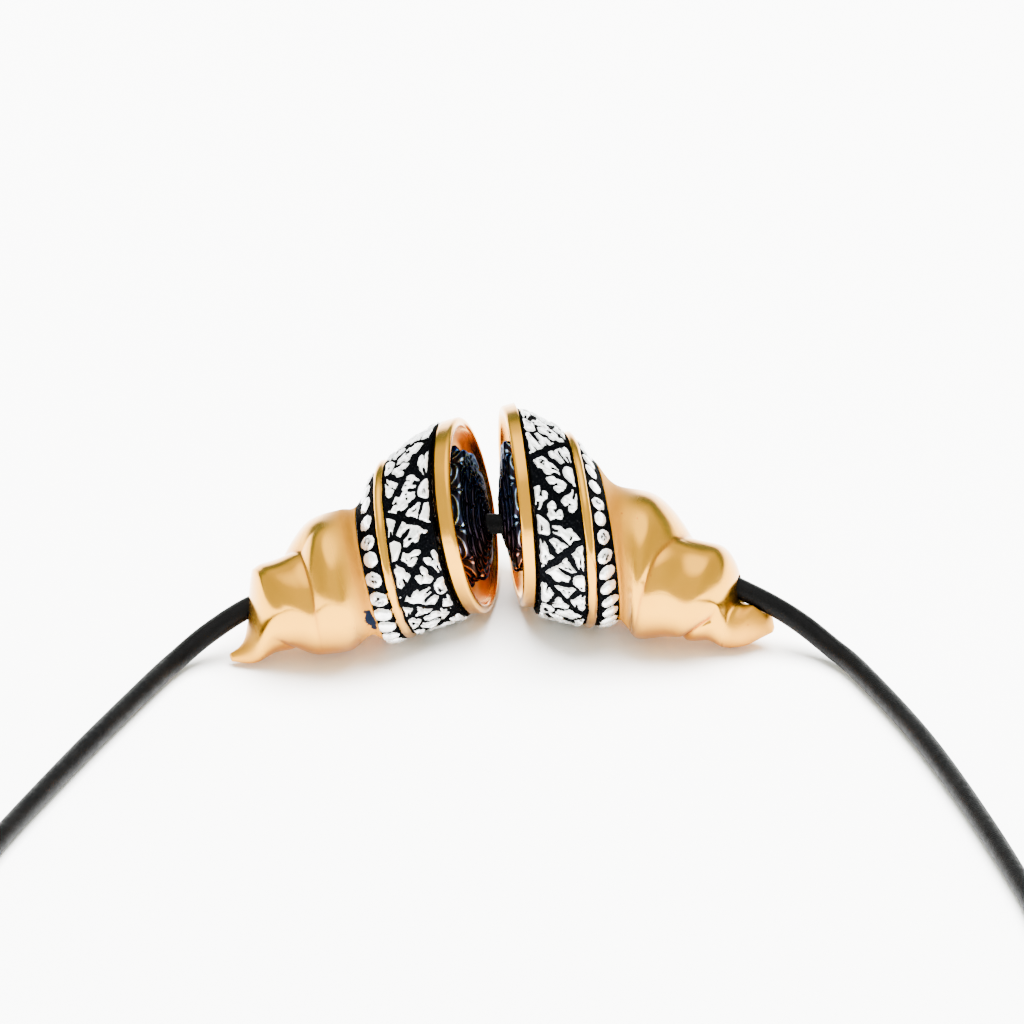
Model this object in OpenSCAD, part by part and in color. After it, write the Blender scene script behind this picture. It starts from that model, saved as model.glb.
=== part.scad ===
// Snail pendant: two hollow shell beads, mouth to mouth, on one round leather cord.
// Millimetres, +Z up, resting on z = 0. The beads lie along X, the necklace's loop runs towards -Y.

/* [Cord] */
// Diameter of the leather cord
cord_d = 2.5; // [2:0.1:2.8]
// Play between the cord and each hole that it runs through
cord_play = 0.3; // [0.2:0.05:0.5]

/* [Shells] */
// Thickness of the cast walls
wall = 0.8; // [0.6:0.1:1.2]
// Gap between two neighbouring pieces of a shell
gap = 0.1; // [0.05:0.05:0.2]
// Flat sides of a spire's rings
spire_sides = 32; // [24:4:40]

/* [Mouth] */
// Thickness of the dish's floor
dish_wall = 0.8; // [0.6:0.1:1]
// Rounding of the rim's edge
rim_edge = 0.5; // [0.3:0.1:0.7]
// Depth of the dish below the rim's edge
dish_depth = 1.6; // [1.2:0.1:1.7]
// Radius of the dish's flat floor
dish_r = 9.0; // [8.8:0.1:9.4]

/* [Rosette] */
// Radius over the tips of the flat outer petals
rosette_r = 8.7; // [8:0.1:8.8]
// Petals in the outer row
petals = 10; // [8:1:18]

/* [Bands] */
// Half flowers along each edge of the floral band
flowers = 6; // [4:1:8]
// Height of the raised petals
petal_h = 0.45; // [0.2:0.05:0.6]
// Beads round the left shell's bead row
left_beads = 25; // [20:1:30]
// Beads round the right shell's bead row
right_beads = 31; // [24:1:34]
// Size of a raised bead round the row
bead_d = 1.9; // [1.4:0.1:2.2]
// Size of a raised bead across the row
bead_w = 2.5; // [1.8:0.1:2.8]
// Height of a raised bead
bead_h = 0.7; // [0.4:0.1:0.9]
// Height of the divider ring above the bands
divider_proud = 0.3; // [0.1:0.1:0.5]

/* [Clasp] */
// Diameter of the barrel clasp
clasp_d = 4.4; // [4:0.1:5]
// Length of the barrel clasp
clasp_len = 14; // [12:1:18]

/* [Hidden] */
$fn = 64;

gold = [0.85, 0.66, 0.38];
silver = [0.86, 0.87, 0.88];
black_silver = [0.13, 0.14, 0.19];
leather = [0.08, 0.08, 0.08];

// Columns of a section table: the section's centre, its radius, and where its mouth side faces,
// as a turn in plan and a tilt above the horizontal. Both shells are drawn with the mouth to +X,
// and the right one is mirrored when it is placed.
X = 0;
Y = 1;
Z = 2;
R = 3;
PLAN = 4;
TILT = 5;

// Stations of a section table
RIM = 0;
WALL = 1;
FLORAL = 2;
DIVIDER = 3;
ROW = 4;

//       x      y      z     r     plan  tilt
left_sections = [
    [ -4.5,   0.2,  12.0, 11.9,  -7,   13],    // edge of the mouth
    [ -6.9,  -0.5,  11.8, 11.7,  -7,   13],    // side wall, floral band
    [-13.1,  -5.4,  11.0, 10.65, -4,   12],    // floral band, divider ring
    [-14.3,  -6.4,  10.6, 10.25, -3.5, 12.5],  // divider ring, bead row
    [-16.8,  -8.0,   8.8,  8.2,   1,   13.5],  // bead row, spire
    [-18.8,  -9.3,   9.5,  7.75,  5,   14],    // shoulder
    [-21.9, -10.6,   8.5,  8.2,  12,   15],    // first whorl
    [-25.6, -12.3,   6.85, 6.6,  20,   16],    // neck
    [-28.2, -12.5,   6.4,  5.6,  22,   16],    // second whorl
    [-29.7, -12.5,   5.45, 4.7,  15,   14],    // blunt end
    [-31.3, -14.5,   1.9,  1.7,  20,   10],    // root of the lip
    [-33.6, -14.8,   0.9,  0.5,  25,   10]];   // tip of the lip

right_sections = [
    [  0.2,   1.5,  12.4, 12.2,  -6.8, -2.6],
    [ -1.7,  -0.1,  12.7, 12.4,  -6.8, -2.6],
    [ -7.3,  -3.2,  12.2, 11.7,  -8.2, -2.7],
    [ -8.6,  -3.6,  11.8, 11.3,  -8.2, -3.3],
    [-11.3,  -3.4,  10.5,  9.6,  -8,   -5],
    [-13.0,  -5.4,   9.75, 8.4,  -4,   -2],
    [-16.3,  -7.0,   8.9,  8.65,  8,    5],
    [-20.4,  -8.8,   7.4,  6.45, 16,   10],
    [-23.2,  -9.4,   6.5,  6.1,  20,   14],
    [-25.3,  -9.9,   5.35, 4.6,  22,   14],
    [-26.5, -10.6,   3.1,  3.0,  25,   12],    // root of the lip
    [-28.6, -10.6,   3.0,  2.75, 25,   10],    // the lip's belly
    [-30.4, -10.5,   2.85, 1.6,  25,    8],
    [-31.3, -10.4,   2.2,  0.4,  25,    8]];

// Columns of a suture table: the angle round the shell (0 top, 90 near side, 180 bottom), the
// station where the groove between two whorls lies there, its depth and its width in stations.
ANGLE = 0;
AT = 1;
DEPTH = 2;
WIDTH = 3;

//   angle   at    depth  width
left_suture = [
    [ 90,   9.2,   0.0,   0.30],
    [150,   7.8,   0.7,   0.30],
    [270,   7.2,   1.0,   0.30],
    [360,   6.45,  1.5,   0.40],
    [405,   6.6,   1.0,   0.40],
    [450,   6.9,   0.4,   0.45],
    [500,   7.0,   0.0,   0.50]];

right_suture = [
    [ 60,   9.1,   0.0,   0.20],
    [ 90,   8.9,   0.8,   0.20],
    [120,   8.2,   0.9,   0.20],
    [150,   7.6,   0.9,   0.25],
    [270,   7.2,   1.0,   0.30],
    [360,   6.7,   1.1,   0.30],
    [405,   6.3,   1.0,   0.30],
    [450,   6.05,  0.7,   0.30],
    [500,   5.8,   0.0,   0.30]];

// Stations at which the spire's outer skin has a ring, down to its blunt end; rings from there to
// the lip's tip; and the stations of the inner skin's rings
spire_outer = [4.03, 4.4, 4.8, 5.2, 5.6, 5.9, 6.15, 6.4, 6.6, 6.8, 7, 7.25, 7.5, 7.75, 8, 8.25, 8.5, 8.75, 9];
lip_rings = 8;
spire_inner = [4.03, 5, 6, 7, 8, 8.7];

// The cord's route, from the clasp round the left side, through both beads and round the right side
clasp_y = -143.6;
bore_y = 0.4;
bore_z = 10.6;
cord_route = [
    [-7, clasp_y, 2.2], [-15, -143.1, 1.6], [-31.5, -139.9, 1.3], [-47, -132.4, 1.3], [-58.5, -121.2, 1.3],
    [-65, -108, 1.3], [-67.5, -92, 1.3], [-66, -76, 1.3], [-61.5, -61, 1.3], [-52.5, -40.7, 1.3],
    [-43.5, -22.4, 1.3], [-39.9, -16.2, 1.6], [-36.3, -13.1, 3.3], [-31.7, -11.1, 5.6],
    [-27, -9.4, 6.8], [-20, -5.6, 8.6], [-13, -1.4, 10.2], [-7, bore_y, bore_z], [-1, bore_y, bore_z],
    [5, bore_y, bore_z], [11, -0.8, 10.4], [18, -4.6, 9.5], [23.4, -7.6, 8.3], [26.8, -8.66, 7.15],
    [31, -9.9, 5.45], [34.6, -11.2, 3.6], [38.2, -14, 1.9], [41.8, -19.2, 1.3], [49, -35.5, 1.3],
    [56.2, -57, 1.3], [61.4, -76.2, 1.3], [64, -92, 1.3], [62.5, -107.8, 1.3], [56.2, -120.7, 1.3],
    [46, -131.6, 1.3], [31.5, -139.5, 1.3], [15, -143.1, 1.6], [7, clasp_y, 2.2]];
cord_sides = 8;
cord_rings = 78;

// Middle and lowest point of the two beads, which is the part's origin
middle = [-1.175, -2.306, -0.13];

// Value of one column of a table between its rows, on a smooth curve through them
function row(table, i) = table[max(0, min(len(table) - 1, i))];
function curve(a, b, c, d, f) =
    0.5 * (2 * b + (c - a) * f + (2 * a - 5 * b + 4 * c - d) * f * f + (3 * b - a - 3 * c + d) * f * f * f);
function smooth(table, col, u) =
    let (i = min(floor(u), len(table) - 2))
    curve(row(table, i - 1)[col], row(table, i)[col], row(table, i + 1)[col], row(table, i + 2)[col], u - i);
function centre(s, u) = [smooth(s, X, u), smooth(s, Y, u), smooth(s, Z, u)];

// Directions in a section's plane: towards the viewer's side, and upwards
function near_dir(s, u) = let (p = smooth(s, PLAN, u)) [sin(p), -cos(p), 0];
function up_dir(s, u) =
    let (p = smooth(s, PLAN, u), t = smooth(s, TILT, u)) [-cos(p) * sin(t), -sin(p) * sin(t), cos(t)];

// Depth of the suture's groove at station u and angle a
function straight(rows, col, i, angle) =
    let (f = (angle - rows[i][ANGLE]) / (rows[i + 1][ANGLE] - rows[i][ANGLE]))
    rows[i][col] * (1 - f) + rows[i + 1][col] * f;
function groove_at(rows, u, angle) =
    let (hit = [for (i = [0 : len(rows) - 2]) if (angle >= rows[i][ANGLE] && angle < rows[i + 1][ANGLE]) i])
    len(hit) == 0 ? 0
        : straight(rows, DEPTH, hit[0], angle)
            * exp(-abs(u - straight(rows, AT, hit[0], angle)) / straight(rows, WIDTH, hit[0], angle));
function groove(rows, u, a) = groove_at(rows, u, a) + groove_at(rows, u, a + 360);

// Point of the shell's skin, sunk by a depth below it
function skin(s, suture, u, a, depth = 0) =
    centre(s, u) + (smooth(s, R, u) - groove(suture, u, a) - depth)
        * (cos(a) * up_dir(s, u) + sin(a) * near_dir(s, u));
function ring(s, suture, u, depth, sides) =
    [for (k = [0 : sides - 1]) skin(s, suture, u, k * 360 / sides, depth)];

// Skin through a list of rings, each with as many points, as triangles
function flat(lists) = [for (list = lists) each list];
function strip(i, j, sides) =
    flat([for (k = [0 : sides - 1])
        let (m = (k + 1) % sides, a = i * sides + k, b = i * sides + m, c = j * sides + k, d = j * sides + m)
        [[a, b, c], [b, d, c]]]);
function strips(rings, sides) = flat([for (i = [0 : rings - 2]) strip(i, i + 1, sides)]);

// Closed skin with an end cap at the first and the last ring
module capped(rings) {
    n = len(rings[0]);
    last = (len(rings) - 1) * n;
    polyhedron(flat(rings),
        concat(strips(len(rings), n), [[for (k = [n - 1 : -1 : 0]) k], [for (k = [0 : n - 1]) last + k]]));
}

// Closed skin whose last ring joins its first one
module looped(rings) {
    n = len(rings[0]);
    polyhedron(flat(rings), concat(strips(len(rings), n), strip(len(rings) - 1, 0, n)));
}

// Hollow band, a wall thick, through a list of stations. height gives how far its outer skin
// stands proud at station u and angle a.
module band(s, suture, stations, sides, height) {
    outer = [for (u = stations) [for (k = [0 : sides - 1])
        let (a = k * 360 / sides) skin(s, suture, u, a, -height(u, a))]];
    last = stations[len(stations) - 1];
    looped(concat(outer, [ring(s, suture, last, wall, sides), ring(s, suture, stations[0], wall, sides)]));
}

// Puts a piece drawn round Z at a station, with Z towards the mouth
module at_station(s, u) {
    translate(centre(s, u)) rotate([0, 90 - smooth(s, TILT, u), smooth(s, PLAN, u)]) children();
}

// Hole for the cord through a rim and its rosette, along X
module mouth_bore() {
    deepest = -12;
    translate([deepest, bore_y, bore_z])
        rotate([0, 90, 0])
            cylinder(d = cord_d + 2 * cord_play, h = -2 * deepest);
}

// Hole for the cord between two points, through the blunt end of a spire
module end_bore(from, to) {
    d = to - from;
    translate(from)
        rotate([0, acos(d[2] / norm(d)), atan2(d[1], d[0])])
            cylinder(d = cord_d + 2 * cord_play, h = norm(d));
}

// Height of the side wall: from the rim's edge to the floral band
function rim_height(s) =
    let (p = s[RIM][PLAN], t = s[RIM][TILT])
    (centre(s, RIM) - centre(s, WALL)) * [cos(p) * cos(t), sin(p) * cos(t), sin(t)];

// Half section of the rim and its dish; Y is the height, 0 at the rim's edge. The bowl's side is
// an arc from the floor up to just under the edge.
module rim_profile(r_edge, r_back, h) {
    inner = r_edge - 2 * rim_edge;
    rise = dish_depth - 0.1;
    bowl = (pow(inner - dish_r, 2) + rise * rise) / (2 * rise);
    back = dish_depth + dish_wall;
    difference() {
        union() {
            polygon([[0, -back], [dish_r - 0.4, -back], [r_back - 2.2, -h], [r_back, -h],
                     [r_edge, -rim_edge], [r_edge - rim_edge, 0], [inner, -0.1], [0, -0.1]]);
            translate([r_edge - rim_edge, -rim_edge]) circle(r = rim_edge);
        }
        translate([-1, -dish_depth]) square([dish_r + 1, 3]);
        translate([dish_r, bowl - dish_depth]) circle(r = bowl);
    }
}

module mouth_rim(s) {
    color(gold)
        difference() {
            at_station(s, RIM)
                rotate_extrude()
                    rim_profile(s[RIM][R], s[WALL][R], rim_height(s));
            mouth_bore();
        }
}

// Columns of the rosette's layers, from the dish up: share of the rosette's radius, number of
// petals, thickness and shift of its middle towards the cord's hole
SHARE = 0;
COUNT = 1;
THICK = 2;
SHIFT = 3;
rosette_layers = [
    [1.00, 1.00, 0.45, 0.0],
    [0.92, 1.00, 1.55, 0.0],
    [0.73, 0.85, 0.30, 0.4],
    [0.54, 0.64, 0.30, 0.8],
    [0.36, 0.50, 0.25, 1.2]];

function layer_base(i) = i == 0 ? 0 : layer_base(i - 1) + rosette_layers[i - 1][THICK];

// Disc with a scalloped edge of round petals, which overlap a little
module petal_disc(r, count, h) {
    overlap = 1.15;
    petal_r = overlap * r * sin(180 / count);
    linear_extrude(h)
        union() {
            circle(r = r - petal_r);
            for (k = [0 : count - 1])
                rotate(k * 360 / count) translate([r - petal_r, 0]) circle(r = petal_r);
        }
}

module rosette(s) {
    color(black_silver)
        difference() {
            at_station(s, RIM)
                translate([0, 0, gap - dish_depth])
                    for (i = [0 : len(rosette_layers) - 1])
                        translate([rosette_layers[i][SHIFT], 0, layer_base(i)])
                            rotate(i * 180 / petals)
                                petal_disc(rosette_r * rosette_layers[i][SHARE],
                                    round(petals * rosette_layers[i][COUNT]), rosette_layers[i][THICK]);
            mouth_bore();
        }
}

// Columns of a half flower's petals: direction, reach of the tip and width, in millimetres
petal_rows = [
    [ 14, 4.1, 1.9],
    [ 52, 4.4, 2.0],
    [ 90, 4.6, 2.0],
    [128, 4.4, 2.0],
    [166, 4.1, 1.9]];
petal_start = 1.5;
boss_r = 1.3;

// Height of a half flower at x along the band's edge and y across the band, from its own middle
function petal_bump(x, y, row) =
    let (mid = (petal_start + row[1]) / 2,
         along = x * cos(row[0]) + y * sin(row[0]) - mid,
         aside = y * cos(row[0]) - x * sin(row[0]),
         q = pow(along / (row[1] - mid), 2) + pow(2 * aside / row[2], 2))
    sqrt(max(0, 1 - q * q));
function boss_bump(x, y) = sqrt(max(0, 1 - (x * x + y * y) / (boss_r * boss_r)));
function half_flower(x, y) =
    petal_h * max(boss_bump(x, y), max([for (row = petal_rows) petal_bump(x, y, row)]));

// Angle from a to the nearest of a ring of things, each step apart
function to_nearest(a, step) = a - step * round(a / step);

// Floral band: a row of half flowers along each edge, the two rows half a step apart
module floral_band(s, suture) {
    rows = 8;
    columns = 16 * flowers;
    step = 360 / flowers;
    width = norm(centre(s, FLORAL) - centre(s, WALL));
    stations = [for (i = [0 : rows]) WALL + 0.02 + 0.96 * i / rows];
    relief = function (u, a)
        let (mm = smooth(s, R, u) * PI / 180)
        max(half_flower(to_nearest(a, step) * mm, (u - WALL) * width),
            half_flower(to_nearest(a - step / 2, step) * mm, (FLORAL - u) * width));
    color(silver)
        band(s, suture, stations, columns, relief);
}

// Plain round ring, with a lip inside that backs it
module divider_ring(s) {
    lip = 0.2;
    mid = (FLORAL + DIVIDER) / 2;
    p = smooth(s, PLAN, mid);
    t = smooth(s, TILT, mid);
    r_out = smooth(s, R, mid) + divider_proud;
    half = (centre(s, FLORAL) - centre(s, DIVIDER)) * [cos(p) * cos(t), sin(p) * cos(t), sin(t)] / 2;
    color(gold)
        translate((centre(s, FLORAL) + centre(s, DIVIDER)) / 2)
            rotate([0, 90 - t, p])
                rotate_extrude()
                    union() {
                        translate([r_out - half, 0]) circle(r = half);
                        translate([r_out - wall - divider_proud - lip, -half])
                            square([wall + divider_proud + lip - half, 2 * half]);
                    }
}

// Bead row: each bead is five columns of the band's grid wide
module bead_row(s, suture, beads) {
    step = 360 / beads;
    mid = (DIVIDER + ROW) / 2;
    width = norm(centre(s, ROW) - centre(s, DIVIDER));
    dome = function (u, a)
        let (x = 2 * to_nearest(a, step) * smooth(s, R, u) * PI / 180 / bead_d,
             y = 2 * (u - mid) * width / bead_w)
        bead_h * sqrt(max(0, 1 - x * x - y * y));
    color(silver)
        band(s, suture, [for (v = [0.04, 0.2, 0.34, 0.5, 0.66, 0.8, 0.97]) DIVIDER + v], 5 * beads, dome);
}

// Spire: a thin skin down to its blunt end, which is solid round the cord's hole
module spire(s, suture, bore_from, bore_to) {
    blunt_end = spire_outer[len(spire_outer) - 1];
    lip = [for (k = [1 : lip_rings]) blunt_end + (len(s) - 1 - blunt_end) * k / lip_rings];
    outer = [for (u = concat(spire_outer, lip)) ring(s, suture, u, 0, spire_sides)];
    inner = [for (i = [len(spire_inner) - 1 : -1 : 0])
        ring(s, suture, spire_inner[i], wall, spire_sides)];
    color(gold)
        difference() {
            capped(concat(inner, outer));
            end_bore(bore_from, bore_to);
        }
}

// Cord: rings of a few sides along a smooth curve through the route's points
function route_at(t) = centre(cord_route, t * (len(cord_route) - 1));
function unit(v) = v / norm(v);
function cord_ring(t) =
    let (d = unit(route_at(min(1, t + 0.001)) - route_at(max(0, t - 0.001))),
         side = unit(cross([0, 0, 1], d)),
         up = cross(d, side))
    [for (k = [0 : cord_sides - 1])
        route_at(t) + cord_d / 2 * (cos(k * 360 / cord_sides) * up + sin(k * 360 / cord_sides) * side)];

module cord() {
    color(leather)
        capped([for (i = [0 : cord_rings - 1]) cord_ring(i / (cord_rings - 1))]);
}

// Barrel clasp with a collar at each end, glued over the cord's ends
module clasp() {
    collar = 1.2;
    step_in = 0.6;
    color(gold)
        translate([-clasp_len / 2, clasp_y, clasp_d / 2])
            rotate([0, 90, 0])
                union() {
                    cylinder(d = clasp_d - step_in, h = clasp_len);
                    translate([0, 0, collar]) cylinder(d = clasp_d, h = clasp_len - 2 * collar);
                }
}

module left() {
    translate(-middle) children();
}

module right() {
    translate(-middle) mirror([1, 0, 0]) children();
}

left_bore = [[-28, -9.8, 6.6], [-34, -12.1, 4.6]];
right_bore = [[-23.4, -7.6, 8.3], [-31, -9.97, 5.68]];

left() mouth_rim(left_sections);  // left_mouth_rim
left() rosette(left_sections);  // left_rosette
left() floral_band(left_sections, left_suture);  // left_floral_band
left() divider_ring(left_sections);  // left_divider_ring
left() bead_row(left_sections, left_suture, left_beads);  // left_bead_row
left() spire(left_sections, left_suture, left_bore[0], left_bore[1]);  // left_spire
right() mouth_rim(right_sections);  // right_mouth_rim
right() rosette(right_sections);  // right_rosette
right() floral_band(right_sections, right_suture);  // right_floral_band
right() divider_ring(right_sections);  // right_divider_ring
right() bead_row(right_sections, right_suture, right_beads);  // right_bead_row
right() spire(right_sections, right_suture, right_bore[0], right_bore[1]);  // right_spire
left() cord();
left() clasp();
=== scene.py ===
import math

import bmesh
import bpy
import numpy as np
from mathutils import Matrix, Vector


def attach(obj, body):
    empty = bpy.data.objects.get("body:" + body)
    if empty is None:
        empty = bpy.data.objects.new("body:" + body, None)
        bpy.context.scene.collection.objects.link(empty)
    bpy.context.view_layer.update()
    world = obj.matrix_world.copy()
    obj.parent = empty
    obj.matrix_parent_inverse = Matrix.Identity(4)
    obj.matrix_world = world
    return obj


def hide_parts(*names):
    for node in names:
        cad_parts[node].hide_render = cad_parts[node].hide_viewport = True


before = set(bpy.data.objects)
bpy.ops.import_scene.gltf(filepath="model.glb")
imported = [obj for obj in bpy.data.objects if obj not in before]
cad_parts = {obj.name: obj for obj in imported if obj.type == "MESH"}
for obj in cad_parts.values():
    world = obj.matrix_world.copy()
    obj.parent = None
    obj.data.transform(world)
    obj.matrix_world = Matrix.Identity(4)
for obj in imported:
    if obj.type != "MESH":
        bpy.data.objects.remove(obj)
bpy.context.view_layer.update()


# Camera.
# It looks down on the two beads from the front, thirty degrees above the table. It stands far off and
# has a long lens, so that the picture has almost no perspective.
def put_in_scene(name, data):
    """A new object of the scene, made of the data given."""
    made = bpy.data.objects.new(name, data)
    bpy.context.scene.collection.objects.link(made)
    return made


looks_down = math.radians(30)
stands_off = 1.5
between_beads = Vector((0.001175, 0.002306, 0.01262))
camera_data = bpy.data.cameras.new("camera")
camera_data.lens = 438.7
camera_data.clip_end = 10
camera = put_in_scene("camera", camera_data)
towards_camera = Vector((0, -math.cos(looks_down), math.sin(looks_down)))
camera.location = between_beads + stands_off * towards_camera
camera.rotation_euler = towards_camera.to_track_quat("Z", "Y").to_euler()
bpy.context.scene.camera = camera

# Cord.
# Round black leather, 2.5 mm thick, which runs through both beads and lies on the table in one wide
# loop. Cut from a hide and dyed through, it has a fine grain and a soft shine.
cord_thickness = 0.0025
cord_unevenness = 0.00001
cord_rings = 1300
cord_sides = 18
cord_route = [
    (-0.005825, -0.141294, 0.00233), (-0.013825, -0.140794, 0.00173), (-0.030325, -0.137594, 0.00143),
    (-0.045825, -0.130094, 0.00143), (-0.057325, -0.118894, 0.00143), (-0.063825, -0.105694, 0.00143),
    (-0.066325, -0.089694, 0.00143), (-0.064825, -0.073694, 0.00143), (-0.060325, -0.058694, 0.00143),
    (-0.051325, -0.038394, 0.00143), (-0.042325, -0.020094, 0.00143), (-0.038725, -0.013894, 0.00173),
    (-0.035125, -0.010794, 0.00343), (-0.030525, -0.008794, 0.00573), (-0.025825, -0.007094, 0.00693),
    (-0.018825, -0.003294, 0.00873), (-0.011825, 0.000906, 0.01033), (-0.005825, 0.002706, 0.01073),
    (0.000175, 0.002706, 0.01073), (0.006175, 0.002706, 0.01073), (0.012175, 0.001506, 0.01053),
    (0.019175, -0.002294, 0.00963), (0.024575, -0.005294, 0.00843), (0.027975, -0.006354, 0.00728),
    (0.032175, -0.007594, 0.00558), (0.035775, -0.008894, 0.00373), (0.039375, -0.011694, 0.00203),
    (0.042975, -0.016894, 0.00143), (0.050175, -0.033194, 0.00143), (0.057375, -0.054694, 0.00143),
    (0.062575, -0.073894, 0.00143), (0.065175, -0.089694, 0.00143), (0.063675, -0.105494, 0.00143),
    (0.057375, -0.118394, 0.00143), (0.047175, -0.129294, 0.00143), (0.032675, -0.137194, 0.00143),
    (0.016175, -0.140794, 0.00173), (0.008175, -0.141294, 0.00233)]


def curve_through(table, u):
    """Rows of a table at the places u, on a smooth curve through its own rows."""
    table = np.asarray(table, float)
    u = np.asarray(u, float)
    i = np.clip(np.floor(u).astype(int), 0, len(table) - 2)
    f = (u - i)[..., None]
    a, b, c, d = (table[np.clip(i + k, 0, len(table) - 1)] for k in (-1, 0, 1, 2))
    return 0.5 * (2 * b + (c - a) * f + (2 * a - 5 * b + 4 * c - d) * f ** 2
                  + (3 * b - a - 3 * c + d) * f ** 3)


def wobble(points, size, seed):
    """Smooth unevenness of about -1 to 1 over points, with features of a size, the same in each run."""
    points = np.asarray(points, float)
    chance = np.random.default_rng(seed)
    total = np.zeros(points.shape[:-1])
    waves = 7
    for _ in range(waves):
        way = chance.normal(size=points.shape[-1])
        way *= 2 * math.pi * chance.uniform(0.6, 1.5) / (size * np.linalg.norm(way))
        total += np.sin(points @ way + chance.uniform(0, 2 * math.pi))
    return total / 4


def piece_from_rings(name, rings, flip=False, ends=(False, False), **kept):
    """Mesh through closed rings of points, its ends open or filled, with values kept at its points."""
    rows, columns = rings.shape[:2]
    index = np.arange(rows * columns).reshape(rows, columns)
    beside = np.roll(index, -1, axis=1)
    faces = np.stack([index[:-1], beside[:-1], beside[1:], index[1:]], -1).reshape(-1, 4).tolist()
    if ends[0]:
        faces.append(index[0, ::-1].tolist())
    if ends[1]:
        faces.append(index[-1].tolist())
    if flip:
        faces = [face[::-1] for face in faces]
    mesh = bpy.data.meshes.new(name)
    mesh.from_pydata(rings.reshape(-1, 3).tolist(), [], faces)
    mesh.shade_smooth()
    for key, value in kept.items():
        values = np.broadcast_to(value, rings.shape[:2]).ravel()
        mesh.attributes.new(key, "FLOAT", "POINT").data.foreach_set("value", values.astype(np.float32))
    return put_in_scene(name, mesh)


def feed(tree, node, inputs):
    """Gives a node its inputs, each a value or another node's output."""
    for key, value in inputs.items():
        if isinstance(value, bpy.types.NodeSocket):
            tree.links.new(value, node.inputs[key])
        else:
            node.inputs[key].default_value = value


def add_node(tree, kind, inputs=None, **settings):
    """A new node with its settings and inputs."""
    made = tree.nodes.new("ShaderNode" + kind)
    for key, value in settings.items():
        setattr(made, key, value)
    feed(tree, made, inputs or {})
    return made


def new_finish(name):
    """A new material with its nodes, its surface and the place of each point, in the object's metres."""
    made = bpy.data.materials.new(name)
    made.use_nodes = True
    tree = made.node_tree
    return made, tree, tree.nodes["Principled BSDF"], add_node(tree, "TexCoord").outputs["Object"]


def mottle(tree, place, scale, detail=3.0):
    """Cloudy pattern from 0 to 1, with about so many clouds a metre."""
    inputs = {"Vector": place, "Scale": scale, "Detail": detail, "Roughness": 0.5}
    return add_node(tree, "TexNoise", inputs).outputs["Fac"]


def ramp(tree, value, low, high, to_low=0, to_high=1):
    """Value from low to high, carried over to another range and kept inside it."""
    return add_node(tree, "MapRange", {"Value": value, "From Min": low, "From Max": high,
                                       "To Min": to_low, "To Max": to_high}).outputs["Result"]


def combine(tree, first, second, operation="ADD"):
    """Sum of two values, or what another operation makes of them."""
    return add_node(tree, "Math", {0: first, 1: second}, operation=operation).outputs[0]


def blend_colour(tree, factor, first, second):
    """Mix of two colours."""
    return add_node(tree, "Mix", {0: factor, 6: first, 7: second}, data_type="RGBA").outputs[2]


def raised(tree, height, strength, distance):
    """Directions of a surface that a pattern raises by up to a distance."""
    inputs = {"Height": height, "Strength": strength, "Distance": distance}
    return add_node(tree, "Bump", inputs).outputs["Normal"]


cord_path = curve_through(cord_route, np.linspace(0, len(cord_route) - 1, cord_rings))
along = np.gradient(cord_path, axis=0)
along /= np.linalg.norm(along, axis=1)[:, None]
aside = np.cross([0, 0, 1], along)
aside /= np.linalg.norm(aside, axis=1)[:, None]
above = np.cross(along, aside)
turn = np.linspace(0, 2 * math.pi, cord_sides, endpoint=False)[None, :, None]
run = np.cumsum(np.linalg.norm(np.diff(cord_path, axis=0, prepend=cord_path[:1]), axis=1))
cord_radius = cord_thickness / 2 + cord_unevenness * wobble(run[:, None], 0.02, 3)[:, None, None]
round_cord = np.cos(turn) * above[:, None] + np.sin(turn) * aside[:, None]
cord = piece_from_rings("leather_cord", cord_path[:, None] + cord_radius * round_cord, ends=(True, True))

black_hide = (0.0006, 0.0006, 0.0007, 1)
worn_hide = (0.0014, 0.0013, 0.0013, 1)
leather, tree, surface, place = new_finish("leather")
cells = add_node(tree, "TexVoronoi", {"Vector": place, "Scale": 3800}, feature="DISTANCE_TO_EDGE")
grain = combine(tree, ramp(tree, cells.outputs["Distance"], 0, 0.25), mottle(tree, place, 1400))
wear_and_dent_shade = ramp(tree, mottle(tree, place, 260), 0.4, 0.75)
feed(tree, surface, {
    "Base Color": blend_colour(tree, wear_and_dent_shade, black_hide, worn_hide),
    "Roughness": ramp(tree, mottle(tree, place, 900), 0.3, 0.7, 0.42, 0.56),
    "Specular IOR Level": 0.06,
    "Normal": raised(tree, grain, 0.5, 0.00004)})
cord.data.materials.append(leather)
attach(cord, "root")
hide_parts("cord")


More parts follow.
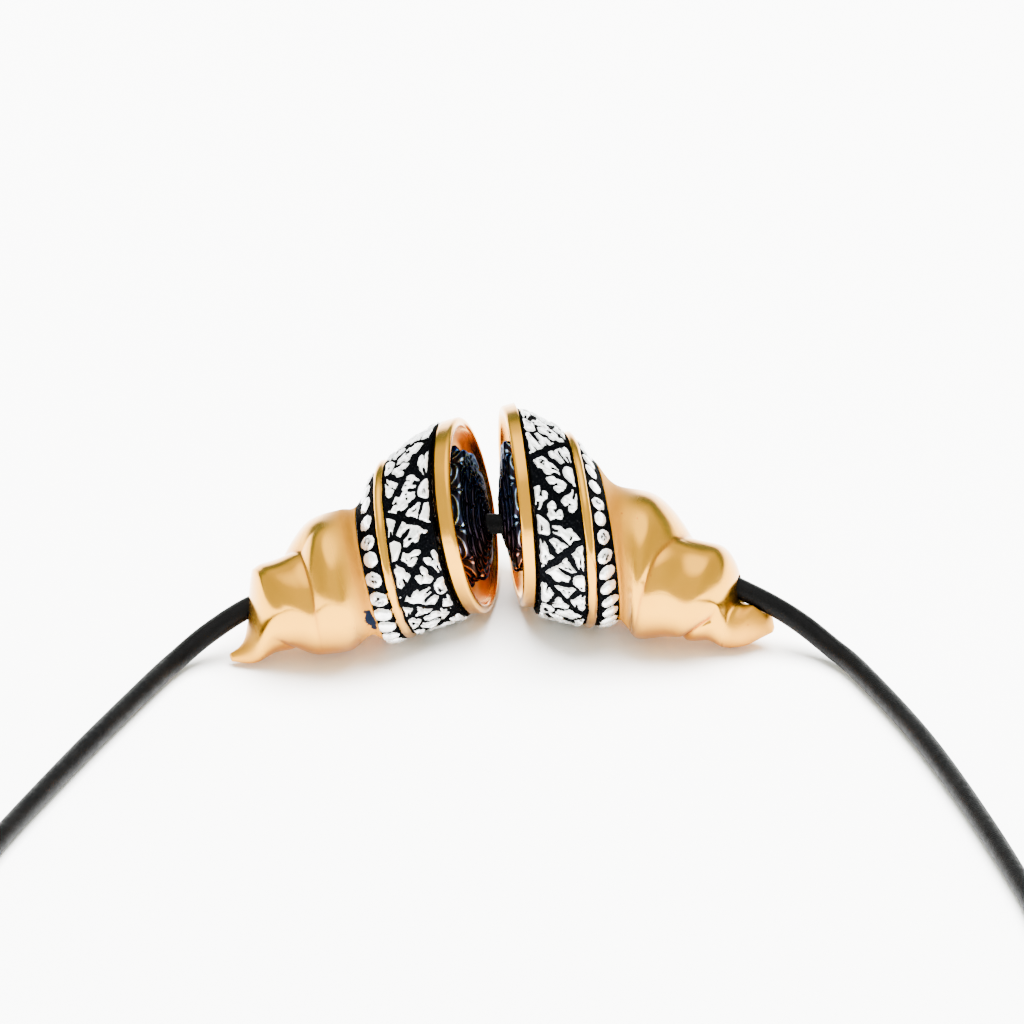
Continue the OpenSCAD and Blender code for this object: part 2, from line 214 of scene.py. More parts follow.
# Clasp.
# A plain gold-plated barrel, turned from brass, with a narrower collar at each end. The cord's two
# ends are glued into it.
def gold_plate(name, hollow_colour=(0.40, 0.13, 0.012, 1)):
    """Polished gold plate with a few pits. The mesh keeps its hollows, which get a painted shade and
    reflection, and where it is satin or stained.
    """
    yellow = (0.66, 0.305, 0.016, 1)
    deeper_yellow = (0.6402, 0.28365, 0.0128, 1)
    pit_brown = (0.45, 0.11, 0.008, 1)
    stain_blue = (0.006, 0.010, 0.024, 1)
    made, tree, surface, place = new_finish(name)
    hollow = add_node(tree, "Attribute", attribute_name="hollow").outputs["Fac"]
    stain = add_node(tree, "Attribute", attribute_name="stain").outputs["Fac"]
    satin = add_node(tree, "Attribute", attribute_name="satin").outputs["Fac"]
    tone = blend_colour(tree, ramp(tree, mottle(tree, place, 170), 0.35, 0.65), yellow, deeper_yellow)
    # Painted shade and reflection: a deeper orange where the mesh marks a hollow, in the whorls' groove
    # and in the dish.
    tone = blend_colour(tree, ramp(tree, hollow, 0, 1, 0, 0.85), tone, hollow_colour)
    dots = add_node(tree, "TexVoronoi", {"Vector": place, "Scale": 900}).outputs["Distance"]
    pitted = ramp(tree, mottle(tree, place, 210), 0.60, 0.68, 0, 0.8)
    pits = combine(tree, ramp(tree, dots, 0.10, 0.16, 1, 0), pitted, "MULTIPLY")
    tone = blend_colour(tree, pits, tone, pit_brown)
    patchy = combine(tree, stain, ramp(tree, mottle(tree, place, 900, 4), 0.3, 0.7, -0.35, 0.35))
    tone = blend_colour(tree, ramp(tree, patchy, 0.42, 0.55), tone, stain_blue)
    polish = ramp(tree, mottle(tree, place, 500), 0.3, 0.7, 0.14, 0.20)
    ripple = combine(tree, mottle(tree, place, 420, 2), ramp(tree, pits, 0, 1, 0.1, -0.3))
    feed(tree, surface, {
        "Base Color": tone,
        "Metallic": 1.0,
        "Roughness": combine(tree, polish, ramp(tree, satin, 0, 1, 0, 0.6)),
        "Normal": raised(tree, ripple, 0.25, 0.00006)})
    return made


def turned_piece(name, outlines, middle, ways, flip, **kept):
    """Round piece: its outline of (radius, height) pairs, given for each side, turned about a middle."""
    out, up, side = ways
    angle = np.linspace(0, 2 * math.pi, len(outlines), endpoint=False)[:, None]
    radius, height = np.moveaxis(outlines, -1, 0)
    points = (np.asarray(middle) + (radius * np.cos(angle))[..., None] * up
              + (radius * np.sin(angle))[..., None] * side + height[..., None] * out)
    return piece_from_rings(name, np.moveaxis(points, 0, 1), flip=flip, **kept)


clasp_length = 0.014
clasp_sides = 96
clasp_outline = [(0.0013, 0), (0.0017, 0), (0.00188, 0.00012), (0.0019, 0.0003), (0.0019, 0.00115),
                 (0.002, 0.0012), (0.00212, 0.00124), (0.00219, 0.00138), (0.0022, 0.0016)]
clasp_outline += [(radius, clasp_length - height) for radius, height in clasp_outline[::-1]]
x_way, y_way, z_way = np.eye(3)
clasp = turned_piece("barrel_clasp", np.tile(clasp_outline, (clasp_sides, 1, 1)), cord_route[0],
                     (x_way, z_way, y_way), flip=True, hollow=0.0)
clasp.data.materials.append(gold_plate("clasp_gold"))
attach(clasp, "root")
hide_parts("clasp")

# Spires.
# The coiled gold end of each shell: a thin brass casting, polished by hand and plated with gold, with
# a groove between its whorls and a small lip at its end, above which the cord comes out.
millimetre = 0.001
shells_at = np.array([1.175, 2.306, 0.13])

# Each shell is drawn in millimetres with its mouth to +X. Its sections' columns are the middle's x, y
# and z, the radius, the turn in plan and the tilt. Stations count the rows from 0 at the mouth's edge:
# the side wall ends at 1, the floral band at 2, the divider ring at 3 and the bead row at 4. The
# groove's columns are an angle round the shell, the station there, the depth and the width. The bore
# is two points on the cord's way out, the lip begins at a station, and the left shell has a stain.
shells = {
    "left": {
        "sections": [
            (-4.5, 0.2, 12, 11.9, -7, 13), (-6.9, -0.5, 11.8, 11.7, -7, 13),
            (-13.1, -5.4, 11, 10.65, -4, 12), (-14.3, -6.4, 10.6, 10.25, -3.5, 12.5),
            (-16.8, -8, 8.8, 8.2, 1, 13.5), (-18.8, -9.3, 9.5, 7.75, 5, 14),
            (-21.9, -10.6, 8.5, 8.2, 12, 15), (-25.6, -12.3, 6.85, 6.6, 20, 16),
            (-28.2, -12.5, 6.4, 5.6, 22, 16), (-29.7, -12.5, 5.45, 4.7, 15, 14),
            (-31.3, -14.5, 1.9, 1.7, 20, 10), (-33.6, -14.8, 0.9, 0.5, 25, 10)],
        "groove": [
            (90, 9.2, 0, 0.3), (150, 7.8, 0.7, 0.3), (270, 7.2, 1, 0.3), (360, 6.45, 1.5, 0.4),
            (405, 6.6, 1, 0.4), (450, 6.9, 0.4, 0.45), (500, 7, 0, 0.5)],
        "bore": [(-28, -9.8, 6.6), (-34, -12.1, 4.6)],
        "lip": 9.4,
        "stained": 1.2,
        "mirror": 1},
    "right": {
        "sections": [
            (0.2, 1.5, 12.4, 12.2, -6.8, -2.6), (-1.7, -0.1, 12.7, 12.4, -6.8, -2.6),
            (-7.3, -3.2, 12.2, 11.7, -8.2, -2.7), (-8.6, -3.6, 11.8, 11.3, -8.2, -3.3),
            (-11.3, -3.4, 10.5, 9.6, -8, -5), (-13, -5.4, 9.75, 8.4, -4, -2), (-16.3, -7, 8.9, 8.65, 8, 5),
            (-20.4, -8.8, 7.4, 6.45, 16, 10), (-23.2, -9.4, 6.5, 6.1, 20, 14),
            (-25.3, -9.9, 5.35, 4.6, 22, 14), (-26.5, -10.6, 3.1, 3, 25, 12),
            (-28.6, -10.6, 3, 2.75, 25, 10), (-30.4, -10.5, 2.85, 1.6, 25, 8),
            (-31.3, -10.4, 2.2, 0.4, 25, 8)],
        "groove": [
            (60, 9.1, 0, 0.2), (90, 8.9, 0.8, 0.2), (120, 8.2, 0.9, 0.2), (150, 7.6, 0.9, 0.25),
            (270, 7.2, 1, 0.3), (360, 6.7, 1.1, 0.3), (405, 6.3, 1, 0.3), (450, 6.05, 0.7, 0.3),
            (500, 5.8, 0, 0.3)],
        "bore": [(-23.4, -7.6, 8.3), (-31, -9.97, 5.68)],
        "lip": 9.8,
        "stained": 0,
        "mirror": -1}}
shell_wall = 0.8
bore_width = 0.0031
spire_from = 4.03
spire_rows = 210
spire_sides = 200
spire_unevenness = 0.035
inside_as_far_as = 8.7
inside_rows = 12
dull_as_far_as = 4.9
stain_station = 4.5
stain_angle = 108


def stations(low, high, count):
    """Evenly spaced stations along a shell, in a column."""
    return np.linspace(low, high, count)[:, None]


def turns(count):
    """Evenly spaced angles round a shell in degrees, in a row."""
    return np.linspace(0, 360, count, endpoint=False)[None, :]


def in_place(shell, points):
    """Points of a shell, drawn in millimetres, where they lie in metres."""
    return (points * [shell["mirror"], 1, 1] + shells_at) * millimetre


def directions(shell, u):
    """At station u: towards the mouth, upwards in the section's plane, and towards the viewer."""
    values = curve_through(shell["sections"], u)
    plan = np.radians(values[..., 4])
    tilt = np.radians(values[..., 5])
    level = np.zeros_like(plan)
    out = np.stack([np.cos(plan) * np.cos(tilt), np.sin(plan) * np.cos(tilt), np.sin(tilt)], -1)
    up = np.stack([-np.cos(plan) * np.sin(tilt), -np.sin(plan) * np.sin(tilt), np.cos(tilt)], -1)
    near = np.stack([np.sin(plan), -np.cos(plan), level], -1)
    return out, up, near


def whorl_groove(shell, u, degrees):
    """Depth of the groove between two whorls, and how close it is, at station u and an angle."""
    angles, places, depths, widths = np.array(shell["groove"], float).T
    rounding = 0.03
    reach = 0.045
    depth = 0
    close = 0
    for angle in (degrees, degrees + 360):
        away = u - np.interp(angle, angles, places)
        deep = np.interp(angle, angles, depths, left=0, right=0)
        wide = np.interp(angle, angles, widths)
        depth = depth + deep * np.exp(-np.sqrt(away ** 2 + rounding ** 2) / wide)
        close = close + np.clip(deep * 1.6, 0, 1) * np.exp(-np.abs(away) / reach)
    return depth, np.clip(close, 0, 1)


def skin(shell, u, degrees, rise=0.0):
    """Points of a shell's skin, in its own millimetres, raised by a height."""
    u, degrees = np.broadcast_arrays(u, degrees)
    values = curve_through(shell["sections"], u)
    out, up, near = directions(shell, u)
    angle = np.radians(degrees)[..., None]
    radius = values[..., 3] - whorl_groove(shell, u, degrees)[0] + rise
    return values[..., :3] + radius[..., None] * (np.cos(angle) * up + np.sin(angle) * near)


def drill_for_cord(piece, start, end):
    """Cuts the cord's round hole through a piece."""
    start = Vector(start)
    end = Vector(end)
    made = bmesh.new()
    bmesh.ops.create_cone(made, cap_ends=True, segments=48, radius1=bore_width / 2, radius2=bore_width / 2,
                          depth=(end - start).length)
    lean = (end - start).to_track_quat("Z", "Y").to_matrix().to_4x4()
    bmesh.ops.transform(made, matrix=Matrix.Translation((start + end) / 2) @ lean, verts=made.verts)
    mesh = bpy.data.meshes.new("drill")
    made.to_mesh(mesh)
    made.free()
    cutter = put_in_scene("drill", mesh)
    cut = piece.modifiers.new("hole", "BOOLEAN")
    cut.operation = "DIFFERENCE"
    cut.object = cutter
    bpy.context.view_layer.update()
    drilled = piece.evaluated_get(bpy.context.evaluated_depsgraph_get())
    drilled_mesh = bpy.data.meshes.new_from_object(drilled)
    piece.modifiers.clear()
    piece.data = drilled_mesh
    bpy.data.objects.remove(cutter)


spire_gold = gold_plate("spire_gold")
for name, shell in shells.items():
    around = turns(spire_sides)
    at = np.concatenate([stations(inside_as_far_as, spire_from, inside_rows),
                         stations(spire_from, len(shell["sections"]) - 1, spire_rows)])
    outer = (np.arange(len(at)) >= inside_rows)[:, None]
    points = skin(shell, at, around, np.where(outer, 0, -shell_wall))
    points += (outer * spire_unevenness * wobble(points, 5.0, 11))[..., None] * directions(shell, at)[1]
    by_beads = np.clip(1 - (at - dull_as_far_as) / 0.8, 0, 1)
    on_lip = np.clip((at - shell["lip"]) / 0.7, 0, 1)
    from_stain = ((at - stain_station) / 0.42) ** 2 + ((around - stain_angle) / 15) ** 2
    stain = shell["stained"] * np.exp(-from_stain)
    # The groove between the whorls gets a painted shade, a darker orange along it.
    spire = piece_from_rings(name + "_spire_cast", in_place(shell, points), ends=(True, True),
                             flip=shell["mirror"] > 0, satin=outer * np.maximum(by_beads, 0.6 * on_lip),
                             stain=outer * stain, hollow=outer * whorl_groove(shell, at, around)[1])
    ends = in_place(shell, np.array(shell["bore"]))
    drill_for_cord(spire, ends[0], ends[1])
    spire.data.materials.append(spire_gold)
    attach(spire, "root")
    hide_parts(name + "_spire")

# Floral bands.
# Cast silver with two rows of half flowers, one row along each edge, kept apart by a zigzag line. The
# petals stand proud and are polished white; the ground between them is left black and grainy.
band_from = 1.02
band_to = 1.98
band_rows = 80
band_sides = 960
petal_height = 0.28
petal_crown = 0.18
line_height = 0.06
line_half_width = 0.34
clear_of_line = 0.36
clear_of_rim = 0.10
clear_of_divider = 0.20
far_outside = 99.0

# The angles of the flowers along the mouth rim and of those along the divider ring, and how far apart
# two neighbours on the two edges can be.
flower_angles = {
    "left": ([40, 101, 160, 220, 281, 340], [5, 65, 124, 186, 246, 305]),
    "right": ([2, 67, 127, 186, 246, 303], [30, 96, 157, 216, 275, 334])}
neighbour_within = 50

# A half flower has a boss with a clear gap round it, and petals that widen outwards to two lobes. A
# petal is given by its direction, in degrees from the band's edge, and its reach from the flower's
# foot. A long petal has an ear on each side too, and a share of all petals has a slit near the gap.
boss_height = 0.5
boss_half_sizes = (1.2, 1.34)
gap_radius = 1.72
petals = ((13, 5.2), (51, 4.9), (90, 6.35), (129, 4.9), (167, 5.2))
petal_widening = 0.26
petal_half_width = 0.85
lobe_zone = 1.2
lobe_half_lengths = (0.68, 0.90)
lobe_half_widths = (0.46, 0.56)
long_petal = 5.6
ear_beside = 0.72
ear_half_sizes = (0.62, 0.50)
slit_share = 0.6
slit_half_width = 0.16


def soft_step(value, width):
    """0 below nought, 1 above a width, and a smooth ramp between."""
    t = np.clip(value / width, 0, 1)
    return t * t * (3 - 2 * t)


def from_angle(degrees, middle):
    """Signed turn from one angle to another, by the shorter way."""
    return (degrees - middle + 180) % 360 - 180


def oval(x, y, middle_x, middle_y, half_x, half_y):
    """About how far a point lies outside an oval; negative inside it."""
    reach = np.hypot((x - middle_x) / half_x, (y - middle_y) / half_y)
    return (reach - 1) * min(half_x, half_y)


def half_flower(x, y, seed):
    """How far a point lies outside a half flower: a boss and five notched petals round it."""
    chance = np.random.default_rng(seed)
    outside = oval(x, y, 0, boss_height, *boss_half_sizes)
    for way, reach in petals:
        way = math.radians(way + chance.uniform(-4, 4))
        reach = reach * chance.uniform(0.93, 1.05)
        along = x * math.cos(way) + y * math.sin(way)
        bend = chance.uniform(-0.16, 0.16) * np.clip(along - 1.8, 0, 4) ** 2 / 2
        beside = y * math.cos(way) - x * math.sin(way) + bend
        half_width = np.clip(petal_widening * along - 0.14, 0, petal_half_width)
        petal = np.maximum(np.abs(beside) - half_width, along - reach + lobe_zone)
        for hand in (-1, 1):
            lobe_at = reach - chance.uniform(0.7, 1.2)
            lobe_beside = hand * chance.uniform(0.48, 0.60)
            lobe_length = chance.uniform(*lobe_half_lengths)
            lobe_width = chance.uniform(*lobe_half_widths)
            petal = np.minimum(petal, oval(along, beside, lobe_at, lobe_beside, lobe_length, lobe_width))
            if reach > long_petal:
                ear_at = reach - chance.uniform(2.1, 2.5)
                petal = np.minimum(petal, oval(along, beside, ear_at, hand * ear_beside, *ear_half_sizes))
        petal = np.maximum(petal, gap_radius - np.hypot(x, y - 0.42))
        slit = slit_half_width - np.abs(beside - chance.uniform(-0.2, 0.2)) - 0.05 * (along - 1.7)
        if chance.uniform() < slit_share:
            slit_end = chance.uniform(2.3, 3.3)
            petal = np.maximum(petal, np.minimum(slit, 1.5 * (slit_end - along)))
        outside = np.minimum(outside, petal)
    return outside


def zigzag(degrees, y, width, per_degree, by_rim, by_divider):
    """Distance from the line that zigzags between the band's edges, a corner opposite each flower."""
    distance = np.full(y.shape, far_outside)
    neighbours = [(a, b) for a in by_rim for b in by_divider if abs(from_angle(a, b)) < neighbour_within]
    for rim_flower, divider_flower in neighbours:
        x = from_angle(degrees, rim_flower) * per_degree
        foot = from_angle(divider_flower, rim_flower) * per_degree
        along = np.clip((x * foot + (width - y) * width) / (foot * foot + width * width), 0, 1)
        distance = np.minimum(distance, np.hypot(x - along * foot, (width - y) - along * width))
    return distance


def polished_silver(name):
    """Polished silver on what stands proud, black grainy oxide in the ground, and the ground's black also
    where the mesh paints a shade on a raised part.
    """
    white_silver = (0.97, 0.975, 0.985, 1)
    grey_silver = (0.55, 0.56, 0.58, 1)
    black_oxide = (0.0016, 0.0018, 0.0024, 1)
    grey_oxide = (0.02, 0.02, 0.022, 1)
    made, tree, surface, place = new_finish(name)
    proud = add_node(tree, "Attribute", attribute_name="proud").outputs["Fac"]
    ragged = ramp(tree, mottle(tree, place, 2600, 4), 0.3, 0.7, -0.22, 0.22)
    bright = ramp(tree, combine(tree, proud, ragged), 0.38, 0.62)
    dulled = ramp(tree, mottle(tree, place, 900, 4), 0.56, 0.74)
    clean = blend_colour(tree, dulled, white_silver, grey_silver)
    specks = ramp(tree, mottle(tree, place, 5200, 2), 0.6, 0.8)
    ground = blend_colour(tree, specks, black_oxide, grey_oxide)
    grains = add_node(tree, "TexVoronoi", {"Vector": place, "Scale": 3000}).outputs["Distance"]
    graininess = combine(tree, grains, ramp(tree, bright, 0, 1, 1, 0.12), "MULTIPLY")
    feed(tree, surface, {
        "Base Color": blend_colour(tree, bright, ground, clean),
        "Specular Tint": blend_colour(tree, bright, (0.05, 0.05, 0.06, 1), (1, 1, 1, 1)),
        "Metallic": ramp(tree, bright, 0, 1, 0.95, 0.72),
        "Roughness": ramp(tree, bright, 0, 1, 0.5, 0.27),
        "Normal": raised(tree, graininess, 0.7, 0.00012)})
    return made


def degree_length(shell, at):
    """Millimetres round the skin for each degree, at the stations of a band."""
    return math.radians(1) * curve_through(shell["sections"], at)[..., 3]


def laid_flat(shell, at, around):
    """Where a band's points would lie if it were unrolled: millimetres round it and across it."""
    points = skin(shell, at, around)
    across = np.cumsum(np.linalg.norm(np.diff(points, axis=0, prepend=points[:1]), axis=-1), axis=0)
    return np.stack([around * degree_length(shell, at), across], -1)


def cast_band(name, shell, at, around, rise, proud):
    """Band of cast silver, raised by a height, with its two edges turned in to the wall's inner face."""
    points = skin(shell, at, around, rise)
    edges = skin(shell, at[[0, -1]], around, -shell_wall)
    ground = np.zeros((1, around.shape[1]))
    return piece_from_rings(name, in_place(shell, np.concatenate([edges[:1], points, edges[1:]])),
                            flip=shell["mirror"] > 0, proud=np.concatenate([ground, proud, ground]))


def uneven(flat, seed):
    """How far a hand-cut outline strays, in millimetres."""
    return 0.14 * wobble(flat, 1.9, seed) + 0.03 * wobble(flat, 0.8, seed + 1)


band_silver = polished_silver("band_silver")
for name, shell in shells.items():
    around = turns(band_sides)
    at = stations(band_from, band_to, band_rows)
    per_degree = degree_length(shell, at)
    flat = laid_flat(shell, at, around)
    y = flat[..., 1]
    width = y[-1:]
    turned = around + uneven(flat, 21) / per_degree
    bent = y + uneven(flat, 23)
    outside = np.full(y.shape, far_outside)
    by_rim, by_divider = flower_angles[name]
    for middles, from_edge, seed in ((by_rim, bent, 100), (by_divider, width - bent, 200)):
        for k, middle in enumerate(middles):
            x = from_angle(turned, middle) * per_degree
            outside = np.minimum(outside, half_flower(x, from_edge, seed + k))
    line = zigzag(turned, bent, width, per_degree, by_rim, by_divider)
    inside_edges = np.minimum(y - clear_of_rim, width - y - clear_of_divider)
    inside_edges += 0.06 * wobble(flat, 1.2, 25)
    outside = np.maximum(outside, clear_of_line - line)
    outside = np.maximum(outside, -inside_edges)
    rise = petal_height * soft_step(-outside, 0.2) + petal_crown * soft_step(-outside, 0.6)
    rise += line_height * soft_step(line_half_width - line, 0.2) + 0.02 * wobble(flat, 0.9, 26)
    # Painted shade, as of dents: random patches inside the petals are turned towards the black of the
    # ground.
    wear_and_dent_shade = soft_step(-outside - 0.22, 0.25) * soft_step(wobble(flat, 1.8, 27) - 0.10, 0.5)
    proud = np.clip(0.5 - (outside + 0.07) / 0.14, 0, 1) - 0.62 * wear_and_dent_shade
    band = cast_band(name + "_floral_band_cast", shell, at, around, rise, proud)
    band.data.materials.append(band_silver)
    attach(band, "root")
    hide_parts(name + "_floral_band")

# Divider rings.
# A narrow gold-plated ring between the floral band and the row of beads, filed by hand, so that its
# edges waver a little. It is half round outside, and stands a little proud of the silver.
ring_station = 2.5
ring_proud = 0.3
ring_thickness = 1.3
ring_sides = 320


def round_points(sides):
    """Points round a circle in a column, one for each side of a turned piece."""
    angle = np.radians(turns(sides).T)
    return np.stack([np.cos(angle), np.sin(angle)], -1)


def turned_on_shell(name, shell, u, middle, outlines, **kept):
    """Turned piece of a shell, from its outlines in millimetres, about its direction at station u."""
    mirror = np.array([shell["mirror"], 1, 1])
    ways = [way * mirror for way in directions(shell, u)]
    return turned_piece(name, outlines * millimetre, in_place(shell, middle), ways,
                        flip=shell["mirror"] < 0, **kept)


ring_gold = gold_plate("ring_gold")
for name, shell in shells.items():
    front, back = np.array(shell["sections"])[2:4, :3]
    half = float((front - back) @ directions(shell, ring_station)[0]) / 2
    top = curve_through(shell["sections"], ring_station)[3] + ring_proud
    circle = round_points(ring_sides)
    arc = np.radians(np.linspace(-90, 90, 19))
    radius = top - half + half * np.cos(arc) + 0.035 * wobble(circle, 0.5, 31)
    height = (half + 0.05 * wobble(circle, 0.35, 32)) * np.sin(arc) + 0.04 * wobble(circle, 0.6, 33)
    bore = np.full((ring_sides, 1), top - ring_thickness)
    outlines = np.stack([np.hstack([bore, radius, bore]),
                         np.hstack([height[:, :1], height, height[:, -1:]])], -1)
    ring = turned_on_shell(name + "_divider_ring_turned", shell, ring_station, (front + back) / 2,
                           outlines, hollow=0.0)
    ring.data.materials.append(ring_gold)
    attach(ring, "root")
    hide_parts(name + "_divider_ring")

# Bead rows.
# Cast silver with a row of round beads, rubbed bright on their tops. Each bead is a little out of
# round, as the tool left it, some carry a painted shade as of a dent, and the ground between them is
# black.
row_from = 3.04
row_to = 3.97
row_station = 3.5
row_rows = 34
sides_per_bead = 32
bead_half_width = 1.22
bead_height = 0.62
dome_reach = 0.8
dent_shade_share = 0.25

# Half a bead's share of the way to the next one, and how far its middle lies from the divider ring: a
# share of the row's width and some millimetres.
bead_share = 0.41
middle_share = 0.28
middle_from_ring = 0.68

# The number of beads and the first one's angle.
bead_rows = {"left": (25, 0.0), "right": (31, 3.0)}


def along_and_across(shell, points, u, degrees):
    """How far points lie along and across a row of the shell, from a place on its skin."""
    here = skin(shell, u, degrees)
    along = skin(shell, u, degrees + 0.5) - here
    along /= np.linalg.norm(along)
    onward = skin(shell, u + 0.02, degrees) - here
    onward -= (onward @ along) * along
    onward /= np.linalg.norm(onward)

    # Points more than 4 mm away may lie on the shell's other side, so they are put well off the bead.
    far = 9.0 * (np.linalg.norm(points - here, axis=-1) > 4)
    return (points - here) @ along + far, (points - here) @ onward + far


bead_silver = polished_silver("bead_silver")
for name, shell in shells.items():
    count, first = bead_rows[name]
    around = turns(count * sides_per_bead)
    at = stations(row_from, row_to, row_rows)
    flat = laid_flat(shell, at, around)
    plain = skin(shell, at, around)
    row_radius = float(curve_through(shell["sections"], row_station)[3])
    bead_half_length = bead_share * math.radians(360 / count) * row_radius
    outside = np.full(flat.shape[:2], far_outside)
    dent_shade = np.zeros(flat.shape[:2])
    chance = np.random.default_rng(41)
    for k in range(count):
        middle = first + (k + chance.uniform(-0.08, 0.08)) * 360 / count
        row_width = float(np.interp(middle % 360, around[0], flat[-1, :, 1]))
        part_way = middle_share + (middle_from_ring + chance.uniform(-0.1, 0.1)) / row_width
        x, y = along_and_across(shell, plain, row_from + (row_to - row_from) * part_way, middle)
        half_length = bead_half_length * chance.uniform(0.92, 1.06)
        half_width = bead_half_width * chance.uniform(0.9, 1.08)
        bead = oval(x, y, 0, 0, half_length, half_width) + 0.05 * wobble(flat, 1.2, 300 + k)
        # A share of the beads get a painted shade inside them, as of a dent; their shape stays whole.
        dent_shade = np.maximum(dent_shade, soft_step(-bead - 0.22, 0.3) * (chance.uniform() < dent_shade_share))
        outside = np.minimum(outside, bead)
    up_the_dome = np.clip(-outside / dome_reach, 0, 1)
    rise = bead_height * np.sqrt(np.clip(1 - (1 - up_the_dome) ** 2, 0, 1)) + 0.015 * wobble(flat, 0.8, 42)
    proud = np.clip(0.5 - (outside + 0.04) / 0.10, 0, 1) - 0.52 * dent_shade
    row = cast_band(name + "_bead_row_cast", shell, at, around, rise, proud)
    row.data.materials.append(bead_silver)
    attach(row, "root")
    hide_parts(name + "_bead_row")

# Mouth rims.
# The gold-plated mouth of each shell in one piece: a narrow side wall, a rounded edge and the shallow
# dish that holds the rosette, turned and polished to a mirror. The dish's deeper orange is a painted
# reflection of the gold in its own hollow.
dish_depth = 1.6
dish_floor = 9.0
dish_rise = 1.5
rim_back = 2.4
back_radius = 8.6
flange_width = 2.2
edge_width = 1.0
edge_radius = 0.5
middle_radius = 0.05
rim_sides = 300
dish_reflection_orange = (0.95, 0.42, 0.004, 1)
rim_gold = gold_plate("rim_gold", dish_reflection_orange)
for name, shell in shells.items():
    sections = np.array(shell["sections"])
    height = float((sections[0, :3] - sections[1, :3]) @ directions(shell, 0)[0])
    edge = sections[0, 3]
    foot = sections[1, 3]
    spread = edge - edge_width - dish_floor
    bowl = (spread ** 2 + dish_rise ** 2) / (2 * dish_rise)

    # From the middle of the back out to the side wall, up to the rounded edge and down into the dish.
    outline = [(middle_radius, -rim_back), (5, -rim_back), (back_radius, -rim_back),
               (foot - flange_width, -height), (foot - 0.25, -height), (foot, -height + 0.12)]
    outline += [(foot + (edge - foot) * t, -height + (height - edge_radius) * t) for t in (0.3, 0.6, 0.9)]
    outline += [(edge - edge_radius + edge_radius * math.cos(a), -edge_radius + edge_radius * math.sin(a))
                for a in np.radians(np.arange(0, 100, 9))]
    bowl_from = len(outline)
    outline += [(dish_floor + bowl * math.sin(a), -dish_depth + bowl * (1 - math.cos(a)))
                for a in np.linspace(math.asin(spread / bowl), 0, 16)]
    outline += [(radius, -dish_depth) for radius in (8.9, 5, 2, middle_radius)]
    # Painted reflection: the dish gets the deeper orange, and a satin finish.
    deep = np.interp(np.arange(len(outline)), [bowl_from + 1, bowl_from + 8], [0, 1])[:, None]
    radius, level = np.array(outline).T
    circle = round_points(rim_sides)
    outlines = np.stack([radius * (1 + 0.0018 * wobble(circle, 0.9, 51)),
                         level + 0.02 * wobble(circle, 0.7, 52)], -1)
    rim = turned_on_shell(name + "_mouth_rim_turned", shell, 0, sections[0, :3], outlines, hollow=deep,
                          satin=0.4 * deep)
    rim.data.materials.append(rim_gold)
    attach(rim, "root")
    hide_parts(name + "_mouth_rim")

# Rosettes.
# A flower of many overlapping round petals, cast in silver and blackened, that fills the dish. Its
# inner rows stand in steps on a thick disc, and the raised lines on its petals and walls carry painted
# highlights.
cord_at_mouth = np.array([0, 0.4, 10.6])
hole_radius = 1.6
petal_overlap = 1.15
turn_of_each_row = 18
shoulder_radius = 0.4
top_fall = 0.16
seam_depth = 0.34
wall_seam_depth = 0.22
petal_sides = 384

# The raised lines' distances in from a petal's edge, and the ridges' down the wall of the tall row.
petal_lines = (0.62, 1.30)
wall_ridges = (-0.40, 0.42, 1.20)

# A row's radius, its number of petals, its foot and its top above the dish, and how far down it lies.
rosette_rows = [(8.70, 10, 0.10, 0.50, 0.0), (8.00, 10, 0.50, 2.02, 0.0), (6.35, 9, 2.00, 2.34, 0.4),
                (4.70, 6, 2.30, 2.66, 0.8), (3.13, 5, 2.60, 2.95, 1.2)]


def from_petal(degrees, pitch):
    """Signed turn from the middle of the nearest petal."""
    return (degrees + pitch / 2) % pitch - pitch / 2


